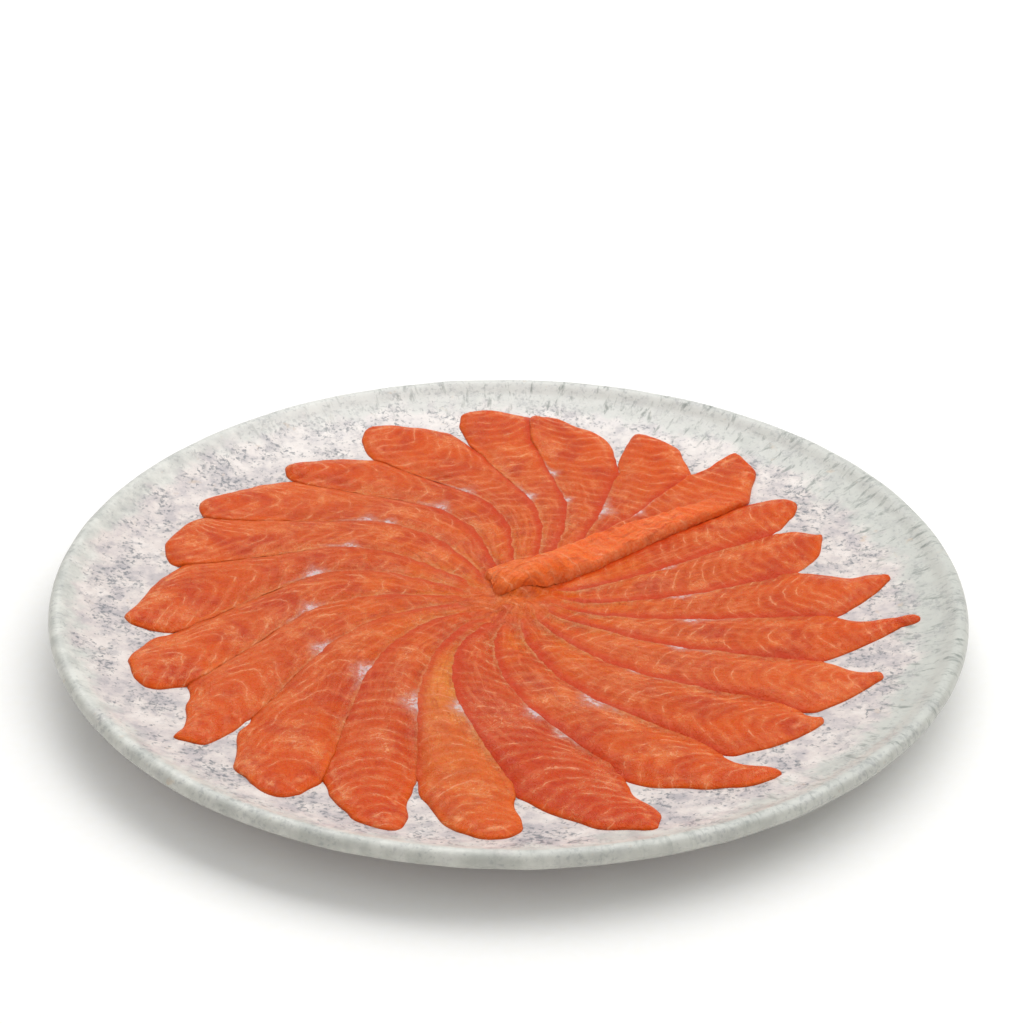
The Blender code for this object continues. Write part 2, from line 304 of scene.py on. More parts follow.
def chain(links, start):
    """The indices met from a start by following each one's link, until there is none or a ring closes."""
    met = [start]
    while links.get(met[-1], start) != start:
        met.append(links[met[-1]])
    return met


def upper_rim(node):
    """The outline in plan of a node's upper side, once round it counter-clockwise."""
    points, triangles = packed_mesh(node)
    first, second, third = (points[triangles[:, corner], :2] for corner in range(3))
    across, up = second - first, third - first
    facing = across[:, 0] * up[:, 1] - across[:, 1] * up[:, 0]
    upper = triangles[facing > TINY**2].tolist()
    edges = {pair for face in upper for pair in zip(face, face[1:] + face[:1])}
    links = {here: there for here, there in edges if (there, here) not in edges}
    return points[chain(links, min(links)), :2]


def slice_sides(node):
    """A slice's open and tucked sides in plan, each from its narrow end to its tip."""
    rim = upper_rim(node)
    tip = np.argmax(reach_of(rim))
    end = np.argmax(np.linalg.norm(rim - rim[tip], axis=1))
    rim = np.roll(rim, -end, axis=0)
    turn = (tip - end) % len(rim)
    tucked = rim[: turn + 1]
    opened = np.concatenate([rim[turn:], rim[:1]])[::-1]
    return opened, tucked


def plate_section():
    """The plate's section as (radius, height), from the middle of its top to that of its base."""
    points, triangles = packed_mesh("plate")
    flat = {i for i, point in enumerate(points) if abs(point[1]) < TINY and point[0] > 0}
    pairs = {pair for face in triangles.tolist() for pair in zip(face, face[1:] + face[:1])}
    near = {i: [there for here, there in pairs if here == i and there in flat] for i in flat}
    walk = [max((i for i in flat if len(near[i]) == 1), key=lambda i: points[i][2])]
    while len(walk) < len(flat):
        walk.append(next(i for i in near[walk[-1]] if i not in walk))
    section = [(points[i][0], points[i][2]) for i in walk]
    return np.array([(0.0, section[0][1]), *section, (0.0, section[-1][1])])


# ---------------------------------------------------------------- curves, grids and noise


def reach_of(places):
    """How far each place in plan lies from the plate's middle."""
    return np.hypot(places[..., 0], places[..., 1])


def unit(directions):
    """Directions in plan, each made one long."""
    return directions / np.maximum(np.linalg.norm(directions, axis=-1, keepdims=True), TINY)


def lengths_along(path):
    """How far along a path each of its points lies."""
    steps = np.linalg.norm(np.diff(path, axis=0), axis=1)
    return np.concatenate([[0.0], np.cumsum(steps)])


def smooth_curve(knots, fractions):
    """Points at fractions of the way along the smooth curve through all the knots."""
    steps = np.linalg.norm(np.diff(knots, axis=0), axis=1)
    places = np.concatenate([[0.0], np.cumsum(steps)]) / steps.sum()
    slopes = CURVE_TENSION * np.gradient(knots, places, axis=0)
    start = np.clip(np.searchsorted(places, fractions, side="right") - 1, 0, len(knots) - 2)
    width = places[start + 1] - places[start]
    share = ((fractions - places[start]) / width)[:, None]
    width = width[:, None]
    return (
        knots[start] * (1 + 2 * share) * (1 - share) ** 2
        + slopes[start] * width * share * (1 - share) ** 2
        + knots[start + 1] * share**2 * (3 - 2 * share)
        + slopes[start + 1] * width * share**2 * (share - 1)
    )


def crowded(count, crowding):
    """Fractions from 0 to 1, crowded towards both ends."""
    even = np.linspace(0, 1, count)
    return (1 - crowding) * even + crowding * (1 - np.cos(math.pi * even)) / 2


ALONG = crowded(ROWS, ROW_CROWDING)
ACROSS = crowded(COLUMNS, COLUMN_CROWDING)


def smooth_step(value, start, end):
    """0 up to the start, 1 from the end, and a smooth rise between them."""
    share = np.clip((value - start) / (end - start), 0, 1)
    return share * share * (3 - 2 * share)


def tip_share(places):
    """How far into the round tip of its slice each place lies, from 0 to 1."""
    return smooth_step(reach_of(places), TIP_START, TIP_FULL)


def rounded(distance, radius):
    """How far a round edge or end has risen, from 0 to 1, at a distance from where it starts."""
    return np.sqrt(1 - (1 - np.clip(distance / radius, 0, 1)) ** 2)


def noise_at(places, size, seed):
    """Smooth noise from about -1 to 1 at points in plan, with features of about that size."""
    flat = places.reshape(-1, 2) / size
    values = [noise.noise(Vector((x, y, seed))) for x, y in flat]
    return np.array(values).reshape(places.shape[:-1])


def distance_to(path, places):
    """The distance in plan from each place to the nearest point of a path."""
    along = np.diff(path, axis=0)
    offset = places[..., None, :] - path[:-1]
    share = np.clip((offset * along).sum(-1) / (along**2).sum(-1), 0, 1)
    return np.linalg.norm(offset - share[..., None] * along, axis=-1).min(-1)


def refined(grid, times):
    """A grid of points with more rows and columns laid evenly between its own."""
    for axis in (0, 1):
        count = grid.shape[axis]
        places = np.linspace(0, count - 1, (count - 1) * times + 1)
        low = np.minimum(places.astype(int), count - 2)
        share = (places - low).reshape((-1, 1, 1) if axis == 0 else (1, -1, 1))
        grid = np.take(grid, low, axis) * (1 - share) + np.take(grid, low + 1, axis) * share
    return grid


# ---------------------------------------------------------------- the pile of slices


def highest_near(heights, cells):
    """Each cell as high as the highest within a few cells of it."""
    for _ in range(cells):
        padded = np.pad(heights, 1, mode="edge")
        rows = np.maximum(np.maximum(padded[:-2], padded[1:-1]), padded[2:])
        heights = np.maximum(np.maximum(rows[:, :-2], rows[:, 1:-1]), rows[:, 2:])
    return heights


class Pile:
    """The height of the plate and of every slice laid on it so far, on a square grid of cells, and
    the number of the slice that lies uppermost in each cell."""

    def __init__(self, section):
        count = 2 * round(PILE_HALF_WIDTH / CELL) + 1
        axis = (np.arange(count) - count // 2) * CELL
        reach = np.hypot(*np.meshgrid(axis, axis))
        top = section[: np.argmax(section[:, 1]) + 1]
        self.low = axis[0]
        self.heights = np.interp(reach, top[:, 0], top[:, 1])
        self.uppermost = np.full(reach.shape, -1)

    def read(self, grid, places):
        """What a grid holds in the cells of the places."""
        cells = np.round((places - self.low) / CELL).astype(int)
        return grid[cells[..., 1], cells[..., 0]]

    def support(self, plan):
        """What a slice laid over these places rests on."""
        return self.read(highest_near(self.heights, 1), plan)

    def add(self, surface, number):
        """Raises the pile to the upper side of a slice."""
        fine = refined(surface, REFINEMENT).reshape(-1, 3)
        cells = np.round((fine[:, :2] - self.low) / CELL).astype(int)
        np.maximum.at(self.heights, (cells[:, 1], cells[:, 0]), fine[:, 2])
        self.uppermost[cells[:, 1], cells[:, 0]] = number

    def crevice(self, surface, number):
        """How close each point of a slice is to the edge of a slice laid over it."""
        covered = [highest_near(self.uppermost, cells) > number for cells in CREVICE_CELLS]
        return np.mean([self.read(grid, surface[..., :2]) for grid in covered], axis=0)


def drape(support):
    """Lays a limp sheet on its support: it bridges small hollows and rounds over each step."""
    level = support.copy()
    for _ in range(DRAPE_PASSES):
        padded = np.pad(level, 1, mode="edge")
        around = padded[:-2, 1:-1] + padded[2:, 1:-1] + padded[1:-1, :-2] + padded[1:-1, 2:]
        level = np.maximum(support, around / 4)
    return level


# ---------------------------------------------------------------- slices


def carried_in(opened, tucked, distance):
    """Both sides with the narrow end carried further in, away from the middle of their third knots."""
    inward = opened[0] - (opened[2] + tucked[2]) / 2
    end = opened[0] + distance * inward / np.linalg.norm(inward)
    return [np.concatenate([[end], side]) for side in (opened, tucked)]


def shortened(opened, tucked, length):
    """Both sides with a length of the narrow end cut off."""
    along = lengths_along((opened + tucked) / 2)
    places = length + (along[-1] - length) * ALONG
    return [
        np.stack([np.interp(places, along, side[:, axis]) for axis in (0, 1)], axis=-1)
        for side in (opened, tucked)
    ]


def wavered(side, seed):
    """A side with the uneven outline a knife leaves in soft flesh."""
    fine, slow = (
        np.stack([noise_at(side, size, seed + shift) for shift in shifts], axis=-1)
        for size, shifts in ((EDGE_WAVER_SIZE, EDGE_SHIFTS), (TIP_WAVER_SIZE, TIP_SHIFTS))
    )
    return side + EDGE_WAVER * fine + TIP_WAVER * tip_share(side)[:, None] * slow


def blunted(opened, tucked):
    """Both sides with the point of the tip rounded off."""
    outline = np.concatenate([opened, tucked[-2::-1]])
    near = smooth_step(reach_of(outline[1:-1]), POINT_REACH, TIP_FULL)
    near *= LEFT_SHARE + (1 - LEFT_SHARE) * smooth_step(outline[1:-1, 0], LEFT_PLACE, 0)
    for _ in range(POINT_PASSES):
        middle = (outline[:-2] + 2 * outline[1:-1] + outline[2:]) / 4
        outline[1:-1] += near[:, None] * (middle - outline[1:-1])
    return outline[:ROWS], outline[: ROWS - 2 : -1]


def nicked(opened, tucked, look):
    """The open side drawn in just before the tip, where the flesh has shrunk, by a third of the width
    at most."""
    offset = reach_of(opened) - NICK_REACH
    depth = np.exp(-((offset / NICK_SIZE) ** 2)) * look.nick * MM
    room = np.linalg.norm(tucked - opened, axis=1) / 3
    return opened + unit(tucked - opened) * np.minimum(depth, room)[:, None]


def round_ended(opened, tucked, look):
    """The two sides with a rounded lobe at the narrow end and a round knob at the tip."""
    spine = (opened + tucked) / 2
    forward = np.gradient(spine, axis=0)
    sideways = unit(np.stack([-forward[:, 1], forward[:, 0]], axis=-1))
    lobe = LOBE_HALF_WIDTH * (1 - smooth_step(reach_of(spine), *LOBE_FADE))
    knob = look.knob * MM * smooth_step(ALONG, KNOB_START, KNOB_FULL) * rounded(1 - ALONG, KNOB_ROUNDING)
    half = np.linalg.norm(opened - tucked, axis=1) / 2
    wanted = np.maximum(np.maximum(half, lobe) * rounded(ALONG, LOBE_ROUNDING), knob)
    extra = sideways * (wanted - half)[:, None]
    return opened + extra, tucked - extra


def spread_out(opened, tucked, look):
    """The tucked side reaching further out near the tip."""
    bulge = np.exp(-(((ALONG - SPREAD_PLACE) / SPREAD_LENGTH) ** 2))
    bulge *= rounded(1 - ALONG, SPREAD_LENGTH)
    return tucked + unit(tucked - opened) * (look.spread * MM * bulge)[:, None]


def tongued(tucked):
    """The tucked side of the ribbon, bulging outward near the narrow end."""
    forward = np.gradient(tucked, axis=0)
    away = unit(np.stack([forward[:, 1], -forward[:, 0]], axis=-1))
    offset = (reach_of(tucked) - TONGUE_REACH) / TONGUE_LENGTH
    start = smooth_step(ALONG, 0, TONGUE_START)
    return tucked + away * (TONGUE_BULGE * start * np.exp(-(offset**2)))[:, None]


def slice_plan(node, seed):
    """A slice's grid in plan, from narrow end to tip and from open side to tucked side."""
    look = LOOKS[node]
    knots = slice_sides(node)
    if look.carry:
        knots = carried_in(*knots, look.carry * MM)
    opened, tucked = blunted(*[wavered(smooth_curve(side, ALONG), seed) for side in knots])
    if node == RIBBON:
        tucked = tongued(tucked)
    else:
        opened, tucked = shortened(opened, tucked, look.short * MM)
        opened, tucked = round_ended(opened, tucked, look)
        tucked = spread_out(opened, tucked, look)
    opened = nicked(opened, tucked, look)
    across = ACROSS[None, :, None]
    return opened[:, None] * (1 - across) + tucked[:, None] * across


def flake_places(plan):
    """How far each point lies along the slice, and how far to the tucked side of its middle."""
    along = lengths_along((plan[:, 0] + plan[:, -1]) / 2)[:, None]
    width = np.linalg.norm(plan[:, -1] - plan[:, 0], axis=1)[:, None]
    return along * np.ones(COLUMNS), width * (ACROSS - 0.5)


def flake_phase(plan, look, seed):
    """Where each point lies among the fat lines, which are at whole numbers.

    The lines arch across the slice with their tops towards its narrow end, more strongly towards
    its tip.
    """
    along, aside = flake_places(plan)
    bend = look.bend * (ARCH_START + ARCH_GROWTH * along / along.max())
    arch = bend * (np.hypot(aside, ARCH_ROUNDING) - ARCH_ROUNDING)
    warp = FLAKE_WARP * noise_at(plan, FLAKE_WARP_SIZE, seed + FLAKE_SHIFT)
    turned = along * math.cos(look.lean) + aside * math.sin(look.lean)
    return (turned - arch + warp) / FLAKE_WIDTH


def rate_over(plan, values):
    """How fast the values on a grid of points change, for each millimetre."""
    least = TINY**2
    row_step, column_step = np.gradient(plan, axis=0), np.gradient(plan, axis=1)
    row_rise, column_rise = np.gradient(values, axis=0), np.gradient(values, axis=1)
    area = row_step[..., 0] * column_step[..., 1] - row_step[..., 1] * column_step[..., 0]
    area = np.where(np.abs(area) < least, least, area)
    east = (row_rise * column_step[..., 1] - column_rise * row_step[..., 1]) / area
    north = (column_rise * row_step[..., 0] - row_rise * column_step[..., 0]) / area
    return np.clip(np.hypot(east, north) * MM, *FLAKE_RATES)


def silver_field(plan, opened, look):
    """How strongly the silvery skin side shows: a blunt wedge on the open edge, with a thin tail."""
    reach = reach_of(opened)
    field = np.zeros(plan.shape[:2])
    for place, length in look.silver:
        index = np.clip(np.argmin(np.abs(reach - place * MM)), 1, len(opened) - 2)
        outward = opened[index + 1] - opened[index - 1]
        outward = outward / np.linalg.norm(outward)
        inward = np.array((outward[1], -outward[0]))
        offset = plan - opened[index]
        along, depth = offset @ outward / MM, offset @ inward / MM
        half = WEDGE_HALF_WIDTH * length * np.clip(1 - depth / length, WEDGE_POINT, 1)
        sunk = np.maximum(depth, 0) / (WEDGE_DEPTH * length)
        wedge = WEDGE_STRENGTH * np.exp(-((along / half) ** 2) - sunk**2)
        tail = TAIL_STRENGTH * np.exp(-((depth / TAIL_DEPTH) ** 2)) * smooth_step(along, *TAIL_STARTS)
        field = np.maximum(field, wedge)
        field = np.maximum(field, tail * (1 - smooth_step(along, *TAIL_ENDS)))
    return field


def amber_field(plan, look):
    """How yellow the flesh is: most halfway along, and less from there to the tip."""
    reach = reach_of(plan) / MM
    halfway = smooth_step(reach, *AMBER_STARTS) * (1 - smooth_step(reach, *AMBER_PALES))
    left = AMBER_BEYOND - AMBER_LOSS * smooth_step(reach, *AMBER_PALES_AGAIN)
    return look.amber * (halfway + smooth_step(reach, *AMBER_PALES) * left)


def ribbon_field():
    """How far each point of the last slice belongs to the ribbon that stands up from it."""
    along = ALONG[:, None]
    start = RIBBON_FREE_SHARE * smooth_step(along, *RIBBON_NARROWS)
    stands = 1 - smooth_step(along, *RIBBON_SINKS)
    return stands * smooth_step(ACROSS, start, start + RIBBON_SHOULDER)


def slice_thickness(node, plan, edge):
    """Thickness at each point before its edge is rounded."""
    if node == RIBBON:
        taper = RIBBON_END_SHARE + (1 - RIBBON_END_SHARE) * smooth_step(ALONG, 0, RIBBON_END_TAPER)
        share = (RIBBON_SHARE + RIBBON_RISE * ribbon_field()) * taper[:, None]
    else:
        least = INNER_EDGE_SHARE + (TIP_EDGE_SHARE - INNER_EDGE_SHARE) * tip_share(plan)
        share = least + (1 - least) * smooth_step(edge, 0, EDGE_TAPER)
        along = flake_places(plan)[0]
        share *= END_SHARE + (1 - END_SHARE) * smooth_step(along, 0, END_TAPER)
        share *= VERY_END_SHARE + (1 - VERY_END_SHARE) * smooth_step(along, 0, VERY_END_TAPER)
    return SLICE_THICKNESS * share


def make_slice(node, number, pile):
    """One slice's grid of points on its upper and under sides, laid on the pile, and its marks."""
    look = LOOKS[node]
    seed = SLICE_SHIFT * number
    plan = slice_plan(node, seed)
    opened, tucked = plan[:, 0], plan[:, -1]
    open_distance, tucked_distance = distance_to(opened, plan), distance_to(tucked, plan)
    edge = np.minimum(open_distance, tucked_distance)
    phase = flake_phase(plan, look, seed)
    along, aside = flake_places(plan)

    rest = pile.support(plan)
    waves = WAVE_HEIGHT * np.maximum(0, noise_at(plan, WAVE_SIZE, seed) + WAVE_LIFT)
    level = rest - BEDDING + (drape(rest) - rest + waves + BEDDING) * smooth_step(edge, 0, SETTLE_WIDTH)

    if node == RIBBON:
        ribbon = ribbon_field()
        folds = np.stack([along / CRINKLE_WIDTH, aside / CRINKLE_LENGTH], axis=-1)
        crinkle = noise_at(folds, 1.0, seed) * smooth_step(edge, 0, CRINKLE_MARGIN)
        bulge = CRINKLE_HEIGHT * crinkle * (CRINKLE_ELSEWHERE + (1 - CRINKLE_ELSEWHERE) * ribbon)
        open_roundness = rounded(open_distance, INNER_ROUNDING)
        roundness = np.minimum(open_roundness, rounded(tucked_distance, RIBBON_ROUNDING))
    else:
        ribbon = np.zeros(edge.shape)
        swell = np.abs(np.sin(math.pi * phase)) - 0.5
        bulge = FLAKE_BULGE * swell * smooth_step(edge, 0, FLAKE_MARGIN)
        roundness = rounded(edge, INNER_ROUNDING + (TIP_ROUNDING - INNER_ROUNDING) * tip_share(plan))
    thickness = slice_thickness(node, plan, edge)
    upper = np.dstack([plan, level + thickness * roundness + bulge])
    lower = np.dstack([plan, level])
    pile.add(upper, number)
    marks = {
        "edge": edge / MM,
        "flake": phase,
        "flake_rate": rate_over(plan, phase),
        "silver": silver_field(plan, opened, look),
        "tone": np.full(edge.shape, look.tone),
        "ribbon": ribbon,
        "along": along / MM + STREAK_SHIFT * number,
        "aside": aside / MM,
        "amber": amber_field(plan, look),
    }
    return upper, lower, marks


# ---------------------------------------------------------------- pieces


def grid_faces(rows, columns, offset, flip):
    """The four-sided faces of a grid of points, as indices from an offset on."""
    near = offset + np.arange(rows * columns).reshape(rows, columns)
    corners = [near[:-1, :-1], near[:-1, 1:], near[1:, 1:], near[1:, :-1]]
    faces = np.stack(corners, axis=-1).reshape(-1, 4)
    return faces[:, ::-1] if flip else faces


def closed_piece(name, points, faces, marks, sharp_angle, material):
    """A closed, smooth-shaded piece that keeps marks at its points, those that meet welded into one."""
    mesh = bpy.data.meshes.new(name)
    mesh.from_pydata(points, [], faces.tolist())
    for mark, values in marks.items():
        kept = mesh.attributes.new(mark, "FLOAT", "POINT")
        kept.data.foreach_set("value", values.astype(np.float32))
    shape = bmesh.new()
    shape.from_mesh(mesh)
    bmesh.ops.remove_doubles(shape, verts=shape.verts, dist=WELD)
    bmesh.ops.recalc_face_normals(shape, faces=shape.faces)
    shape.to_mesh(mesh)
    shape.free()
    mesh.shade_smooth()
    mesh.set_sharp_from_angle(angle=math.radians(sharp_angle))
    mesh.materials.append(material)
    piece = bpy.data.objects.new(name, mesh)
    bpy.context.scene.collection.objects.link(piece)
    return piece


def slice_object(node, upper, lower, marks, material):
    """Closes a slice between the grids of its upper and under sides."""
    rows, columns = upper.shape[:2]
    points = np.concatenate([upper.reshape(-1, 3), lower.reshape(-1, 3)])
    under = grid_faces(rows, columns, rows * columns, False)
    faces = np.concatenate([grid_faces(rows, columns, 0, True), under])
    both = {mark: np.tile(values.ravel(), 2) for mark, values in marks.items()}
    piece = closed_piece("trout_" + node, points, faces, both, SLICE_SHARP_ANGLE, material)
    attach(piece, "root")
    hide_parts(node)


def lay_slices(section, material):
    """Lays all the slices in turn, then marks where each is overlooked by those above it."""
    pile = Pile(section)
    nodes = sorted(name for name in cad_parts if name.startswith("slice_"))
    laid = [make_slice(node, number, pile) for number, node in enumerate(nodes)]
    for number, (upper, lower, marks) in enumerate(laid):
        marks["crevice"] = pile.crevice(upper, number)
        slice_object(nodes[number], upper, lower, marks, material)


def fine_section():
    """The plate's section with its curved stretches drawn finely and its corners kept.

    Its curve runs from the middle of the top, over the crest, to the first point below half the
    height of that middle. From there on it is the foot.
    """
    rough = plate_section()
    crest = np.argmax(rough[:, 1])
    base = crest + np.argmax(rough[crest:, 1] < rough[0, 1] / 2)
    curve, foot = rough[: base + 1], rough[base + 1 :]
    length = lengths_along(curve)[-1]
    smooth = smooth_curve(curve, np.linspace(0, 1, round(length / SECTION_STEP)))
    return np.concatenate([smooth, foot])


def make_plate(section, material):
    """The plate, its section turned once round +Z, with the slight waver of a hand-turned lip."""
    angles = np.arange(PLATE_SEGMENTS) * math.tau / PLATE_SEGMENTS
    ring = np.stack([np.cos(angles), np.sin(angles)], axis=-1)
    rows = [np.column_stack([ring * radius, np.full(PLATE_SEGMENTS, height)]) for radius, height in section]
    points = np.stack(rows, axis=1)
    outwards = smooth_step(reach_of(points), *LIP_REACH) * smooth_step(points[..., 2], *LIP_HEIGHT)
    points[..., 2] += LIP_WAVER * outwards * noise_at(points[..., :2], LIP_WAVER_SIZE, LIP_SHIFT)
    looped = np.concatenate([points, points[:1]]).reshape(-1, 3)
    faces = grid_faces(PLATE_SEGMENTS + 1, len(section), 0, False)
    piece = closed_piece("stoneware_plate", looped, faces, {}, PLATE_SHARP_ANGLE, material)
    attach(piece, "root")
    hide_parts("plate")


# ---------------------------------------------------------------- materials


def linear(code):
    """The linear colour of an sRGB hex code."""
    shares = [int(code[place : place + 2], 16) / 255 for place in (1, 3, 5)]
    return (*[s / 12.92 if s <= 0.04045 else ((s + 0.055) / 1.055) ** 2.4 for s in shares], 1.0)


def add(tree, kind, links=None, stops=None, give=None, **settings):
    """Adds a node with its settings and gives one of its outputs, the first live one unless named.
    Links give its inputs, by name or number, as numbers, hex colours or other nodes' outputs; stops
    are a ramp's places and colours."""
    made = tree.nodes.new("ShaderNode" + kind)
    for name, value in settings.items():
        setattr(made, name, value)
    for key, value in (links or {}).items():
        named = [socket for socket in made.inputs if socket.name == key and socket.enabled]
        socket = made.inputs[key] if isinstance(key, int) else named[0]
        if isinstance(value, bpy.types.NodeSocket):
            tree.links.new(value, socket)
        else:
            socket.default_value = linear(value) if isinstance(value, str) else value
    if stops:
        ramp = made.color_ramp.elements
        while len(ramp) < len(stops):
            ramp.new(1.0)
        for element, (place, colour) in zip(ramp, stops):
            element.position = place
            element.color = linear(colour)
    return made.outputs[give] if give else next(output for output in made.outputs if output.enabled)


def new_material(name):
    """An empty material, its tree and its shader."""
    material = bpy.data.materials.new(name)
    material.use_nodes = True
    tree = material.node_tree
    return material, tree, tree.nodes["Principled BSDF"]


def clouded(tree, place, clouds):
    """Soft clouds from 0 to 1, by name, each read at a place of its own in the noise. Each is given by
    the size of its billows in millimetres, the levels of noise at which it starts and is full, and
    how many finer sizes break it up."""
    made = {}
    for number, (name, (size, start, full, finer)) in enumerate(clouds.items()):
        moved = add(tree, "VectorMath", {0: place, 1: (CLOUD_SHIFT * number, 0, 0)}, operation="ADD")
        links = {"Vector": moved, "Scale": 1 / (size * MM), "Detail": finer, "Roughness": 0.62}
        level = add(tree, "TexNoise", links)
        made[name] = add(tree, "MapRange", {0: level, 1: start, 2: full}, interpolation_type="SMOOTHSTEP")
    return made


def washed(tree, colour, washes):
    """A colour under thin washes of others, each with its strength and the marks that thin it out."""
    for tint, strength, *marks in washes:
        for mark in marks:
            strength = add(tree, "Math", {0: strength, 1: mark}, operation="MULTIPLY")
        colour = add(tree, "Mix", {"Factor": strength, "A": colour, "B": tint}, data_type="RGBA")
    return colour


